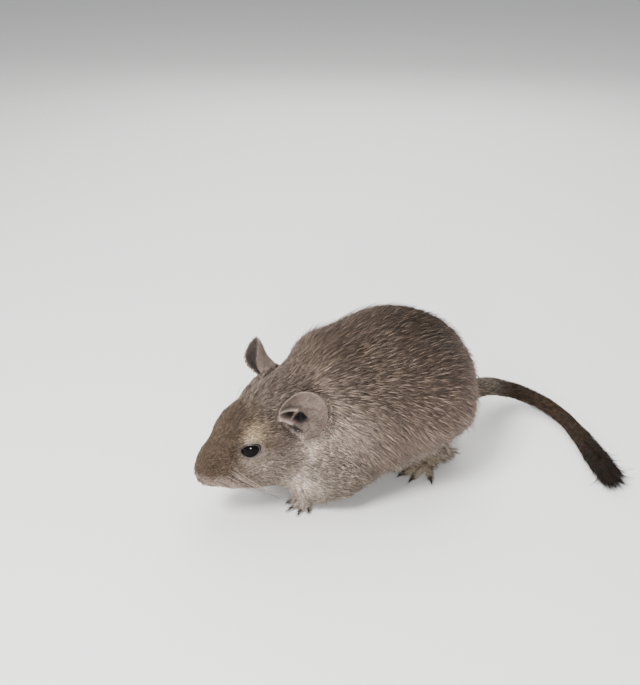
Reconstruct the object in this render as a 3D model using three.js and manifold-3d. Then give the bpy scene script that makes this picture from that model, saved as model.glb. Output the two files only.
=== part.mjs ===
// A young degu, about eight weeks old, that crouches on all fours with its head low and its
// tail curled to one side, as a still life-size model.
// Millimetres, +Z up. The degu faces -Y, its left side is +X, and it is built round the floor
// point between its fore paws. At the end the whole is moved so that the origin lies under
// the middle of its bounding box, at floor level.
// The coat's outer surface is one smooth body, parted by thin cuts into the parts that a
// person would name. Ears, paws, feet and tail are grown on to it.
import * as THREE from "three";
import { mergeVertices } from "three/addons/utils/BufferGeometryUtils.js";
import Module from "manifold-3d";

const wasm = await Module();
wasm.setup();

// Driving dimensions
const SEAM = 0.3; // gap between neighbouring parts
const HEAD_LENGTH = 41; // nose tip to ear opening
const HEAD_PITCH = 33; // degrees that the nose points below level
const CHEEK_WIDTH = 27;
const BACK_HEIGHT = 63; // floor to the top of the arched back
const BODY_WIDTH = 58; // over the haunches
const RUMP_Y = 71.5; // rear end of the rump
const EYE_RADIUS = 3.8;
const EAR_LENGTH = 17;
const EAR_THICKNESS = 0.9;

// Fineness of the faceted surfaces
const BODY_STEP = 4.8;
const HEAD_STEP = 2.3;

const vec = (x, y, z) => new THREE.Vector3(x, y, z);
const across = (v) => vec(-v.x, v.y, v.z); // the same place on the other side
const radians = THREE.MathUtils.degToRad;

// Smooth shapes, as distances from their surface

// An ellipsoid whose long axis tips up towards the rear by pitch degrees.
function lump(centre, radii, pitch = 0) {
  const c = Math.cos(radians(pitch));
  const s = Math.sin(radians(pitch));
  return (p) => {
    const y = p.y - centre.y;
    const z = p.z - centre.z;
    const q = [p.x - centre.x, y * c + z * s, z * c - y * s];
    const r = radii.toArray();
    const reach = Math.hypot(q[0] / r[0], q[1] / r[1], q[2] / r[2]);
    const slope = Math.hypot(q[0] / r[0] ** 2, q[1] / r[1] ** 2, q[2] / r[2] ** 2);
    return slope === 0 ? -Math.min(...r) : (reach * (reach - 1)) / slope;
  };
}

// A round limb that tapers from one radius to another.
function limb(from, to, radiusFrom, radiusTo) {
  const axis = vec().subVectors(to, from);
  const offset = vec();
  return (p) => {
    offset.subVectors(p, from);
    const t = THREE.MathUtils.clamp(offset.dot(axis) / axis.lengthSq(), 0, 1);
    offset.addScaledVector(axis, -t);
    return offset.length() - THREE.MathUtils.lerp(radiusFrom, radiusTo, t);
  };
}

// Two distances joined with a rounded hollow about as deep as blend.
function join(a, b, blend) {
  const h = Math.max(blend - Math.abs(a - b), 0) / blend;
  return Math.min(a, b) - (h * h * blend) / 4;
}

// Shapes, each with the blend that joins it to those before it.
function blended(shapes) {
  return (p) => shapes.reduce((d, [shape, blend]) => join(d, shape(p), blend), 1e3);
}

const both = (make, blend) => [
  [make(1), blend],
  [make(-1), blend],
];

// The head's own axes: across, along towards the nose tip, and up out of the crown
const HEAD_AT = vec(0, -1.4, 39.5); // between the ear openings
const NOSEWARD = vec(0, -Math.cos(radians(HEAD_PITCH)), -Math.sin(radians(HEAD_PITCH)));
const CROWNWARD = vec(0, -Math.sin(radians(HEAD_PITCH)), Math.cos(radians(HEAD_PITCH)));
function onHead(x, along, up) {
  return HEAD_AT.clone()
    .add(vec(x, 0, 0))
    .addScaledVector(NOSEWARD, along)
    .addScaledVector(CROWNWARD, up);
}
const headLump = (x, along, up, radii) => lump(onHead(x, along, up), radii, HEAD_PITCH);

// The body's lumps
const trunk = [
  [lump(vec(0, RUMP_Y - 25, 30), vec(24, 25, 27)), 1],
  [lump(vec(0, 34, BACK_HEIGHT - 29.5), vec(25, 27, 29)), 12],
  [lump(vec(0, 30, 19), vec(24, 31, 16)), 8],
  [lump(vec(0, 14, 30), vec(19, 18, 28)), 12],
  [limb(vec(0, 12, 38), vec(0, -3, 36), 16, 13), 9],
  [limb(vec(0, 6, 18), vec(0, -13, 17), 13, 8.5), 8],
];
const haunches = both((s) => lump(vec(s * (BODY_WIDTH / 2 - 12), 45, 24), vec(11.5, 16, 16.5)), 8);
const shanks = both((s) => limb(vec(s * 17, 43, 14), vec(s * 12, 57, 8), 8, 4.5), 6);
const shoulders = both((s) => lump(vec(s * 12.5, 13, 24), vec(8, 12, 16)), 8);
const forearms = both((s) => limb(vec(s * 13, 11, 12), vec(s * 9, 1, 6), 7, 4.5), 6);
const tailRoot = [[limb(vec(0, RUMP_Y - 11, 21), vec(-2, RUMP_Y + 9, 18.4), 8, 3.2), 7]];

const head = [
  [headLump(0, 6.5, -1, vec(11.5, 15.5, 11.5)), 8],
  [limb(onHead(0, 15, -2.5), onHead(0, HEAD_LENGTH - 8.5, -1.4), 9.4, 6.3), 8],
  [headLump(0, HEAD_LENGTH - 5, -0.6, vec(4.6, 4, 4.4)), 3],
  ...both((s) => headLump(s * (CHEEK_WIDTH / 2 - 7), 8, -8, vec(7.5, 13, 11)), 6),
  [limb(onHead(0, 2, -19), onHead(0, HEAD_LENGTH - 11, -8.6), 9.8, 4.7), 6],
  ...both((s) => headLump(s * 5.4, 18, 1.5, vec(3.6, 7, 4)), 4),
  ...both((s) => headLump(s * 6.6, 20, -5, vec(3.4, 7, 4.2)), 4),
];

const wholeBody = blended([
  ...trunk,
  ...haunches,
  ...shanks,
  ...shoulders,
  ...forearms,
  ...tailRoot,
  ...head,
]);

// Faceted surfaces

// The surface where a field equals grow, inside box, as a net with one vertex to each cell
// that it crosses.
function surfaceNet(field, box, step, grow = 0) {
  const counts = box
    .getSize(vec())
    .toArray()
    .map((side) => Math.ceil(side / step) + 1);
  const [nx, ny, nz] = counts;
  const at = (i, j, k) => (k * ny + j) * nx + i;
  const corner = (i, j, k) => box.min.clone().addScaledVector(vec(i, j, k), step);
  const outside = (i, j, k) =>
    [i, j, k].some((n, axis) => n === 0 || n === counts[axis] - 1);
  const value = new Float64Array(nx * ny * nz);
  for (let k = 0; k < nz; k++)
    for (let j = 0; j < ny; j++)
      for (let i = 0; i < nx; i++) {
        const d = field(corner(i, j, k)) - grow;
        value[at(i, j, k)] = outside(i, j, k) ? Math.max(d, step / 4) : d;
      }

  const vertexOf = new Int32Array(nx * ny * nz).fill(-1);
  const vertices = [];
  const cellCorners = [0, 1, 2, 3, 4, 5, 6, 7].map((n) => [n & 1, (n >> 1) & 1, n >> 2]);
  for (let k = 0; k < nz - 1; k++)
    for (let j = 0; j < ny - 1; j++)
      for (let i = 0; i < nx - 1; i++) {
        const middle = vec(0, 0, 0);
        let crossings = 0;
        cellCorners.forEach(([a, b, c], n) =>
          [1, 2, 4].forEach((bit) => {
            if (n & bit) return;
            const [d, e, f] = cellCorners[n | bit];
            const from = value[at(i + a, j + b, k + c)];
            const to = value[at(i + d, j + e, k + f)];
            if (from < 0 === to < 0) return;
            const t = from / (from - to);
            middle.add(corner(i + a, j + b, k + c).lerp(corner(i + d, j + e, k + f), t));
            crossings += 1;
          }),
        );
        if (crossings === 0) continue;
        vertexOf[at(i, j, k)] = vertices.length;
        vertices.push(middle.divideScalar(crossings));
      }

  const faces = [];
  const addQuad = (a, b, c, d) => {
    const [p, q, r, s] = [a, b, c, d].map((n) => vertices[n]);
    if (p.distanceTo(r) < q.distanceTo(s)) faces.push(a, b, c, a, c, d);
    else faces.push(a, b, d, b, c, d);
  };
  for (let k = 0; k < nz - 1; k++)
    for (let j = 0; j < ny - 1; j++)
      for (let i = 0; i < nx - 1; i++) {
        const here = value[at(i, j, k)] < 0;
        [
          [at(i + 1, j, k), [0, -1, -1], [0, 0, -1], [0, 0, 0], [0, -1, 0]],
          [at(i, j + 1, k), [-1, 0, -1], [-1, 0, 0], [0, 0, 0], [0, 0, -1]],
          [at(i, j, k + 1), [-1, -1, 0], [0, -1, 0], [0, 0, 0], [-1, 0, 0]],
        ].forEach(([next, ...cells]) => {
          if (value[next] < 0 === here) return;
          const ring = cells.map(([a, b, c]) => vertexOf[at(i + a, j + b, k + c)]);
          addQuad(...(here ? ring : ring.reverse()));
        });
      }

  const steps = [vec(1, 0, 0), vec(0, 1, 0), vec(0, 0, 1)];
  const nudge = step / 50;
  for (const v of vertices) {
    if (!box.clone().expandByScalar(-2 * step).containsPoint(v)) continue;
    for (let pass = 0; pass < 2; pass++) {
      const slope = steps.map((axis) => {
        const ahead = field(v.clone().addScaledVector(axis, nudge));
        const behind = field(v.clone().addScaledVector(axis, -nudge));
        return (ahead - behind) / (2 * nudge);
      });
      const gradient = vec(...slope);
      v.addScaledVector(gradient, -(field(v) - grow) / gradient.lengthSq());
    }
  }
  const geometry = new THREE.BufferGeometry().setFromPoints(vertices);
  return geometry.setIndex(faces);
}

// A closed tube through rings of points, all with the same number of points. Each end is
// closed by a zigzag from its first point to its last, which also suits a crescent.
function loft(rings) {
  const count = rings[0].length;
  const faces = [];
  for (let i = 0; i < rings.length - 1; i++)
    for (let j = 0; j < count; j++) {
      const a = i * count + j;
      const b = i * count + ((j + 1) % count);
      faces.push(a, b, b + count, a, b + count, a + count);
    }
  const last = (rings.length - 1) * count;
  for (let low = 0, high = count - 1; high - low > 1; low++, high--) {
    faces.push(high, low + 1, low, last + low, last + low + 1, last + high);
    if (high - low > 2) {
      faces.push(high, high - 1, low + 1, last + low + 1, last + high - 1, last + high);
    }
  }
  return new THREE.BufferGeometry().setFromPoints(rings.flat()).setIndex(faces);
}

// Solids, for cuts and joins

function solidOf(geometry, weld = 1e-4) {
  const bare = new THREE.BufferGeometry().setAttribute("position", geometry.attributes.position);
  bare.setIndex(geometry.index);
  const merged = mergeVertices(bare, weld);
  return new wasm.Manifold(
    new wasm.Mesh({
      numProp: 3,
      vertProperties: new Float32Array(merged.attributes.position.array),
      triVerts: new Uint32Array(merged.index.array),
    }),
  );
}

function geometryOf(solid) {
  const { vertProperties, triVerts, numProp } = solid.getMesh();
  const geometry = new THREE.BufferGeometry();
  const points = [];
  for (let i = 0; i < vertProperties.length; i += numProp)
    points.push(...vertProperties.slice(i, i + 3));
  geometry.setAttribute("position", new THREE.Float32BufferAttribute(points, 3));
  return geometry.setIndex(new THREE.BufferAttribute(triVerts, 1));
}

// The largest closed surface of a solid, so that no scrap or sealed hollow is left.
function largest(solid) {
  return solid.decompose().reduce((a, b) => (a.volume() > b.volume() ? a : b));
}

const parts = [];
const addPart = (name, solid, material) =>
  parts.push({ name, geometry: geometryOf(largest(solid)), material });

const ball = (centre, radii, sides = 16) =>
  solidOf(
    new THREE.SphereGeometry(1, sides, Math.round(sides * 0.6))
      .rotateX(Math.PI / 2)
      .scale(...radii.toArray())
      .translate(...centre.toArray()),
  );
const sphere = (centre, radius, sides) => ball(centre, vec(radius, radius, radius), sides);

// Everything on the side of a plane that its normal points to.
function beyond(point, normal) {
  const side = 300;
  const turn = new THREE.Quaternion().setFromUnitVectors(vec(0, 0, 1), normal.clone().normalize());
  const block = new THREE.BoxGeometry(side, side, side)
    .translate(0, 0, side / 2)
    .applyQuaternion(turn)
    .translate(...point.toArray());
  return solidOf(block);
}

// The two sides of a thin cut.
function cut(point, normal) {
  const unit = normal.clone().normalize();
  const half = unit.clone().multiplyScalar(SEAM / 2);
  return {
    ahead: beyond(point.clone().add(half), unit),
    behind: beyond(point.clone().sub(half), unit.clone().negate()),
  };
}

// A tube along a path, or along the stretch of it between two shares of its length, with a
// radius for each of the path's points.
function tube(points, radii, sides = 6, finish = 1, from = 0, to = 1) {
  const path = new THREE.CatmullRomCurve3(points, false, "centripetal");
  const spans = Math.ceil((points.length - 1) * finish * (to - from));
  const rings = [];
  for (let i = 0; i <= spans; i++) {
    const t = THREE.MathUtils.lerp(from, to, i / spans);
    const centre = path.getPoint(t);
    const along = path.getTangent(t);
    const side = vec(0.02, 0.03, 1).cross(along).normalize();
    const top = along.clone().cross(side);
    const n = Math.min(Math.floor(t * (radii.length - 1)), radii.length - 2);
    const radius = THREE.MathUtils.lerp(radii[n], radii[n + 1], t * (radii.length - 1) - n);
    const ring = [];
    for (let j = 0; j < sides; j++) {
      const turn = (2 * Math.PI * (j + 0.5)) / sides;
      ring.push(
        centre
          .clone()
          .addScaledVector(side, radius * Math.cos(turn))
          .addScaledVector(top, radius * Math.sin(turn)),
      );
    }
    rings.push(ring);
  }
  return solidOf(loft(rings));
}

const union = (solids) => wasm.Manifold.union(solids);
const aboveFloor = beyond(vec(0, 0, 0), vec(0, 0, 1));

// A toe from its root to its tip on the floor, with a curved claw.
function toe(root, tip, radius, clawLength, grow = 0) {
  const ahead = vec().subVectors(tip, root).setZ(0).normalize();
  const middle = root.clone().lerp(tip, 0.5).add(vec(0, 0, 0.5));
  const claw = [
    tip.clone().addScaledVector(ahead, -0.6).add(vec(0, 0, 0.3)),
    tip.clone().addScaledVector(ahead, clawLength * 0.55).add(vec(0, 0, 0.35)),
    tip.clone().addScaledVector(ahead, clawLength).add(vec(0, 0, 0.6 - tip.z)),
  ];
  return [
    tube([root, middle, tip], [radius + grow, radius * 0.95 + grow, radius * 0.8 + grow], 5),
    tube(claw, [radius * 0.62 + grow, radius * 0.42 + grow, 0.16 + grow], 4),
  ];
}

// Four toes, then the palm that joins them.
function forefoot(side, grow = 0) {
  const palm = vec(side * 8, 2.5, 2.6);
  const pieces = [ball(palm, vec(3.4 + grow, 4 + grow, 3 + grow), 10)];
  for (const [turn, reach] of [[-12, 6.2], [14, 7], [40, 6.8], [66, 5.4]]) {
    const ahead = vec(side * Math.sin(radians(turn)), -Math.cos(radians(turn)), 0);
    const root = palm.clone().addScaledVector(ahead, 2).setZ(2.2);
    const tip = palm.clone().addScaledVector(ahead, reach).setZ(1);
    pieces.push(...toe(root, tip, 1.15, 2.1, grow));
  }
  return union(pieces).intersect(aboveFloor);
}

function hindfoot(side, grow = 0) {
  const heel = vec(side * 10, 62, 3);
  const instep = vec(side * 11, 57, 3.2);
  const ball1 = vec(side * 12.3, 49.5, 2.6);
  const pieces = [
    sphere(heel, 2.9 + grow, 8),
    tube([heel, instep, ball1], [2.8 + grow, 3.2 + grow, 3.4 + grow, 2.2 + grow], 8, 2),
  ];
  for (const [x, y] of [[8.6, 41], [11.8, 40], [15.4, 41.6], [18.4, 47]]) {
    const tip = vec(side * x, y, 1.1);
    const root = ball1.clone().lerp(tip, 0.12).setZ(2.3);
    pieces.push(...toe(root, tip, 1.35, 3, grow));
  }
  return union(pieces).intersect(aboveFloor);
}

// A thin cup: sections across it are crescents, open towards facing.
function ear(base, axis, facing, length, width) {
  const up = axis.clone().normalize();
  const open = facing.clone().addScaledVector(up, -facing.dot(up)).normalize();
  const wide = open.clone().cross(up);
  const shape = [
    [0, 0.5, 150],
    [0.14, 0.66, 130],
    [0.32, 0.84, 105],
    [0.52, 1, 82],
    [0.7, 0.97, 62],
    [0.85, 0.78, 46],
    [0.95, 0.5, 34],
    [1, 0.22, 30],
  ];
  const points = 9;
  const rings = shape.map(([t, share, spread]) => {
    const half = (share * width) / 2;
    const reach = radians(spread);
    const round = half / Math.sin(Math.min(reach, Math.PI / 2));
    const centre = base
      .clone()
      .addScaledVector(up, t * length)
      .addScaledVector(open, round - 1 - 2 * Math.sin(t * 2.2) + 2 * t * t);
    const arc = (radius, turn) =>
      centre
        .clone()
        .addScaledVector(wide, radius * Math.sin(turn))
        .addScaledVector(open, -radius * Math.cos(turn));
    const outer = [];
    const inner = [];
    for (let j = 0; j < points; j++) {
      const turn = THREE.MathUtils.lerp(-reach, reach, j / (points - 1));
      const thin = EAR_THICKNESS * (t > 0.9 ? 0.75 : 1);
      outer.push(arc(round, turn));
      inner.unshift(arc(round - thin, turn));
    }
    return [...outer, ...inner];
  });
  return solidOf(loft(rings));
}

const coat = (color, roughness = 0.85) =>
  new THREE.MeshStandardMaterial({ color, roughness, metalness: 0 });
const COAT = coat("#6d5f55");

// Head, neck and torso, parted by flat cuts

const bodyBox = new THREE.Box3(vec(-42, -48, -6), vec(42, 100, 72));
const headBox = new THREE.Box3(vec(-22, -44, -4), vec(22, 16, 64));
const bodySolid = solidOf(surfaceNet(wholeBody, bodyBox, BODY_STEP)).intersect(
  beyond(vec(0, 0, 1.5), vec(0, 0, 1)),
);
const headSolid = solidOf(surfaceNet(wholeBody, headBox, HEAD_STEP));
const nape = cut(vec(0, 5, 50), vec(0, -42, 12));
const collar = cut(vec(0, 17, 55), vec(0, -50, 8));
const tailCut = cut(vec(0, RUMP_Y + 6, 16), vec(0, 1, 0));

const forelegRegion = (side, grow) =>
  tube(
    [vec(side * 17, 16, 28), vec(side * 15, 12, 16), vec(side * 8.6, 2.6, 2)],
    [9.5 + grow, 9 + grow, 8 + grow],
    12,
    2,
  ).add(sphere(vec(side * 17, 16, 28), 9.5 + grow, 14));
const hindlegRegion = (side, grow) =>
  ball(vec(side * 24, 45, 16), vec(15 + grow, 21 + grow, 22 + grow), 24);

const half = SEAM / 2;
let neck = bodySolid.intersect(nape.behind).intersect(collar.ahead);
let torso = bodySolid.intersect(collar.behind).intersect(tailCut.behind);
const limbs = [];
for (const [side, name] of [[1, "left"], [-1, "right"]]) {
  const fore = forefoot(side);
  const foreSpace = forefoot(side, SEAM);
  const hind = hindfoot(side);
  const hindSpace = hindfoot(side, SEAM);
  const foreleg = bodySolid.intersect(forelegRegion(side, -half)).subtract(foreSpace);
  const hindleg = bodySolid.intersect(hindlegRegion(side, -half)).subtract(hindSpace);
  neck = neck.subtract(forelegRegion(side, half)).subtract(foreSpace);
  torso = torso.subtract(forelegRegion(side, half)).subtract(foreSpace);
  torso = torso.subtract(hindlegRegion(side, half)).subtract(hindSpace);
  limbs.push(["foreleg_" + name, foreleg], ["forefoot_" + name, fore]);
  limbs.push(["hindleg_" + name, hindleg], ["hindfoot_" + name, hind]);
}
let skull = headSolid.intersect(nape.ahead);
const headSpace = solidOf(surfaceNet(wholeBody, headBox, HEAD_STEP, SEAM));

// Eyes in their sockets, with lids round an almond opening

const EYE_AT = onHead(6.9, 18.6, 0.8);
const EYE_AXIS = vec(0.86, -0.4, 0.3).normalize();
const EYE_LINE = vec(-0.29, -0.92, -0.27); // rear corner to front corner
const lidRadius = EYE_RADIUS + SEAM + 0.5;
const eyes = [];
for (const [side, name] of [[1, "left"], [-1, "right"]]) {
  const centre = side > 0 ? EYE_AT : across(EYE_AT);
  const axis = side > 0 ? EYE_AXIS : across(EYE_AXIS);
  const line = side > 0 ? EYE_LINE : across(EYE_LINE);
  const level = line.clone().addScaledVector(axis, -line.dot(axis)).normalize();
  const turn = new THREE.Matrix4().makeBasis(level, axis, level.clone().cross(axis));
  const opening = new THREE.CylinderGeometry(1, 1, 12, 24)
    .scale(3.5, 1, 2.4)
    .translate(0, 6, 0)
    .applyMatrix4(turn)
    .translate(...centre.toArray());
  const view = solidOf(opening);
  const lids = sphere(centre, lidRadius, 20).subtract(view);
  const socket = sphere(centre, EYE_RADIUS + SEAM, 20);
  skull = skull.subtract(view).add(lids).subtract(socket);
  eyes.push(["eye_" + name, sphere(centre, EYE_RADIUS, 20)]);
}

// The line of the mouth and the cleft under the nose are thin plates that cut only skin-deep

const plate = (size, pitch, centre) =>
  solidOf(
    new THREE.BoxGeometry(...size.toArray())
      .rotateX(radians(HEAD_PITCH + pitch))
      .translate(...centre.toArray()),
  );
const muzzleBox = new THREE.Box3(vec(-12, -42, 2), vec(12, -16, 36));
const underSkin = solidOf(surfaceNet(wholeBody, muzzleBox, HEAD_STEP, -1));
const mouth = plate(vec(18, 13, 0.5), 12, onHead(0, HEAD_LENGTH - 6.5, -5.8));
const cleft = plate(vec(0.4, 9, 3.6), 12, onHead(0, HEAD_LENGTH - 2.4, -4));
skull = skull.subtract(mouth.subtract(underSkin)).subtract(cleft.subtract(underSkin));
for (const side of [1, -1]) {
  const nostril = onHead(side * 1.9, HEAD_LENGTH - 1.7, -0.4);
  const earCanal = vec(side * 12.6, -1.9, 40);
  skull = skull.subtract(sphere(nostril, 0.8, 8)).subtract(sphere(earCanal, 2.3, 10));
}

addPart("head", skull, COAT);
addPart("neck", neck, COAT);
addPart("torso", torso, COAT);
eyes.forEach(([name, solid]) => addPart(name, solid, COAT));
limbs.forEach(([name, solid]) => addPart(name, solid, COAT));

// Ears

const nearEar = ear(vec(13.4, -5.8, 36.4), vec(0.28, 0.39, 0.876), vec(0.82, -0.57, 0), EAR_LENGTH, 15.4);
const farEar = ear(vec(-10.5, -4, 41), vec(-0.3, 0.1, 0.95), vec(-0.35, -0.94, 0), EAR_LENGTH, 15.5);
addPart("ear_left", nearEar.subtract(headSpace), COAT);
addPart("ear_right", farEar.subtract(headSpace), COAT);

// Tail, in three lengths along one path

const tailPath = [
  vec(0, RUMP_Y - 4, 20),
  vec(-3, 84, 17.5),
  vec(-6, 97, 11.5),
  vec(-3, 109, 5.6),
  vec(7.7, 113.8, 3.4),
  vec(21, 112.6, 3),
  vec(36.6, 108.3, 2.8),
  vec(46, 105.8, 2.2),
];
const tailRadii = [3.8, 3.5, 3.2, 3, 2.8, 2.6, 2.1, 0.7];
const firstCut = 0.46;
const secondCut = 0.74;
const slit = 0.0016; // half the gap between two lengths, as a share of the path
const tailLength = (from, to) => tube(tailPath, tailRadii, 10, 3, from, to);

// A flat three-sided lock of hair that tapers to its tip and lifts a little off the tail.
function lock(root, along, out, length, width, lift) {
  const side = along.clone().cross(out).normalize();
  const rings = [
    [0, 0.75, 0.8],
    [0.5, 1, 0.65],
    [1, 0.22, 0.3],
  ].map(([t, broad, thick]) => {
    const middle = root
      .clone()
      .addScaledVector(along, t * length)
      .addScaledVector(out, lift * t);
    return [
      middle.clone().addScaledVector(side, (broad * width) / 2),
      middle.clone().addScaledVector(side, (-broad * width) / 2),
      middle.clone().addScaledVector(out, thick),
    ];
  });
  return solidOf(loft(rings));
}

function brush() {
  const path = new THREE.CatmullRomCurve3(tailPath, false, "centripetal");
  const rows = 7;
  const perRow = 4;
  const locks = [];
  for (let row = 0; row < rows; row++) {
    const t = THREE.MathUtils.lerp(secondCut + 0.012, 0.94, row / (rows - 1));
    const along = path.getTangent(t);
    const side = vec(0, 0, 1).cross(along).normalize();
    const top = along.clone().cross(side);
    const radius = THREE.MathUtils.lerp(2.2, 1, row / (rows - 1));
    for (let n = 0; n < perRow; n++) {
      const uneven = ((row * 5 + n * 3) % 7) / 7;
      const turn = (2 * Math.PI * (n + 0.44 * row + 0.12 * uneven)) / perRow;
      const out = side.clone().multiplyScalar(Math.cos(turn)).addScaledVector(top, Math.sin(turn));
      const root = path.getPoint(t).addScaledVector(out, radius);
      locks.push(lock(root, along, out, 6.4 + 2 * uneven, 2.2, 0.9 + 0.7 * uneven));
    }
  }
  return locks;
}

addPart("tail_base", tailLength(0, firstCut - slit).intersect(tailCut.ahead), COAT);
addPart("tail_middle", tailLength(firstCut + slit, secondCut - slit).intersect(aboveFloor), COAT);
const tuft = union([tailLength(secondCut + slit, 1), ...brush()]);
addPart("tail_tuft", tuft.intersect(aboveFloor).simplify(0.03), COAT);

// The origin goes under the middle of the whole, at floor level. Points that nearly meet are
// welded there, and what that pinches off is left out.
const bounds = new THREE.Box3();
parts.forEach(({ geometry }) => {
  geometry.computeBoundingBox();
  bounds.union(geometry.boundingBox);
});
const middle = bounds.getCenter(vec(0, 0, 0));
const group = new THREE.Group();
for (const { name, geometry, material } of parts) {
  let welded = geometry.translate(-middle.x, -middle.y, 0);
  for (let pass = 0; pass < 3; pass++) {
    welded = geometryOf(largest(solidOf(welded, 1e-3)));
  }
  welded.computeVertexNormals();
  const mesh = new THREE.Mesh(welded, material);
  mesh.name = name;
  group.add(mesh);
}

export default group;
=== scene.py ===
import bpy
import numpy as np
from math import cos, pi, radians, sin
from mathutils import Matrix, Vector
from mathutils.bvhtree import BVHTree


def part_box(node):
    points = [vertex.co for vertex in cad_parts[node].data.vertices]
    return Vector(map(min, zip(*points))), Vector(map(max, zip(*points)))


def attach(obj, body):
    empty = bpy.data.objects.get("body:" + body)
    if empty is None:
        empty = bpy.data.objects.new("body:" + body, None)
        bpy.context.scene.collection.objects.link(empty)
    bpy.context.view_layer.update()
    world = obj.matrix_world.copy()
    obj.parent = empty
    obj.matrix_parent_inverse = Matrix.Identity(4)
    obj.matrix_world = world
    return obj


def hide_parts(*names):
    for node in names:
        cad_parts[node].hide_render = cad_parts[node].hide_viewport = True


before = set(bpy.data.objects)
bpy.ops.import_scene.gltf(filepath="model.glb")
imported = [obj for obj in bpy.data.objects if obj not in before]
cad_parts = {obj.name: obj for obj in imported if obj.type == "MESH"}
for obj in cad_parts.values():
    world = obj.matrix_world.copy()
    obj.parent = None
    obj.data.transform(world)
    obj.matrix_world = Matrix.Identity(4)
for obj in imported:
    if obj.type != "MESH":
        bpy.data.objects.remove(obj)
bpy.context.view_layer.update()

# The animal is seen from a hand's breadth above and to the left of its head, as in a snapshot.
# The middle of the left eye says where the point between the fore paws lies.
EYE = (6.9, -17.44, 30.04)
eye_low, eye_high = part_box("eye_left")
PAW_POINT = (eye_low + eye_high) / 2 - Vector(EYE) / 1000


def on_animal(x, y, z):
    return PAW_POINT + Vector((x, y, z)) / 1000


bpy.ops.object.select_all(action="DESELECT")
bpy.ops.object.camera_add(
    location=on_animal(213.9, -97.7, 196.9), rotation=(radians(60), 0, radians(63))
)
camera = bpy.context.object
camera.data.sensor_fit = "AUTO"
camera.data.sensor_width = 36
camera.data.lens = 44.1
camera.data.clip_start = 0.01
bpy.context.scene.camera = camera

# It stands on a plain pale board in soft daylight: a panel high in front of it, weaker ones
# overhead and on the far side, a small one beside the camera, and a pale room all round.
bpy.ops.object.select_all(action="DESELECT")
bpy.ops.mesh.primitive_plane_add(size=3, location=(0, 0, 0))
floor = bpy.context.object
floor.name = "floor"
floor_look = bpy.data.materials.new("pale_board")
floor_look.use_nodes = True
board = floor_look.node_tree.nodes["Principled BSDF"]
board.inputs["Base Color"].default_value = (0.78, 0.77, 0.75, 1)
board.inputs["Roughness"].default_value = 0.8
floor.data.materials.append(floor_look)


def aim(lamp, place):
    lamp.rotation_euler = (place - lamp.location).to_track_quat("-Z", "Y").to_euler()


MID_BODY = on_animal(0, 20, 20)
for name, place, size, power in (
    ("high_front", on_animal(120, -330, 530), 0.2, 7.0),
    ("overhead", on_animal(-120, 160, 640), 0.6, 4.0),
    ("beside_camera", on_animal(330, -210, 160), 0.055, 1.3),
    ("far_side", on_animal(-380, 260, 360), 0.5, 1.5),
):
    bpy.ops.object.light_add(type="AREA", location=place)
    panel = bpy.context.object
    panel.name = name
    panel.data.size = size
    panel.data.energy = power
    aim(panel, MID_BODY)

# A narrow beam beside the camera reaches the left eye alone. It leaves a small round glint on
# the wet ball, above and before its middle.
GLINT = on_animal(9.9, -18.9, 31.8)
bpy.ops.object.light_add(type="SPOT", location=on_animal(330, -210, 160))
beam = bpy.context.object
beam.name = "eye_beam"
beam.data.energy = 30
beam.data.spot_size = radians(1)
beam.data.spot_blend = 0.8
beam.data.shadow_soft_size = 0.003
aim(beam, GLINT)
room = bpy.data.worlds.new("pale_room")
bpy.context.scene.world = room
room.use_nodes = True
room.node_tree.nodes["Background"].inputs["Color"].default_value = (0.95, 0.97, 1.0, 1)
room.node_tree.nodes["Background"].inputs["Strength"].default_value = 0.5


def from_paws(places):
    """Places of the scene, in metres, as places on the animal."""
    return (places - np.array(PAW_POINT)) * 1000


def in_scene(places):
    """Places on the animal as places of the scene, in metres."""
    return places / 1000 + np.array(PAW_POINT)


def mirrored(places):
    """The same places, with those on the right side turned over onto the left."""
    return np.column_stack([np.abs(places[:, 0]), places[:, 1:]])


def from_eye(places):
    """How far each place lies from the middle of the nearer eye."""
    return np.linalg.norm(mirrored(places) - EYE, axis=1)


def fade(value, start, end):
    """0 up to start, 1 from end on, smooth between. Start may lie above end."""
    t = np.clip((value - start) / (end - start), 0, 1)
    return t * t * (3 - 2 * t)


# On the head, places run along it to the nose and up out of its crown, from the middle
# between the ear openings. The nose points 33 degrees below level.
HEAD_PITCH = radians(33)
HEAD_Y = -1.4
HEAD_Z = 39.5


def on_head(places):
    y = places[:, 1] - HEAD_Y
    z = places[:, 2] - HEAD_Z
    along = -y * cos(HEAD_PITCH) - z * sin(HEAD_PITCH)
    up = -y * sin(HEAD_PITCH) + z * cos(HEAD_PITCH)
    return along, up


# The flesh of head, trunk, legs and feet is taken from the solids. The cuts between them are
# hair-thin, so the trunk and legs are swollen until they touch their neighbours. The bridge of
# the nose is deep and blunt, and the thighs are tucked in above the hind feet.
BRIDGE = [(4, -0.3), (8, -1.1), (12, -1.2), (15, 0.6), (19, 2.3), (24, 2.7), (28.5, 3.3)]
BRIDGE += [(31.5, 3.3), (34, 2.0), (36.5, 0.5), (39, 0)]
FLESH = ["head", "neck", "torso", "foreleg_left", "foreleg_right", "hindleg_left"]
FLESH += ["hindleg_right", "forefoot_left", "forefoot_right", "hindfoot_left", "hindfoot_right"]
CUT_CLOSING = 0.36  # millimetres
THIGH_TUCK = 0.36  # of their distance from the middle


def pick(*pieces):
    """Selects these pieces alone, the first as the one to work on."""
    bpy.ops.object.select_all(action="DESELECT")
    for piece in pieces:
        piece.select_set(True)
    bpy.context.view_layer.objects.active = pieces[0]


def edit_all(operator, **options):
    """Runs an operator of edit mode over the whole of the piece that is worked on."""
    bpy.ops.object.mode_set(mode="EDIT")
    bpy.ops.mesh.select_all(action="SELECT")
    operator(**options)
    bpy.ops.object.mode_set(mode="OBJECT")


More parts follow.
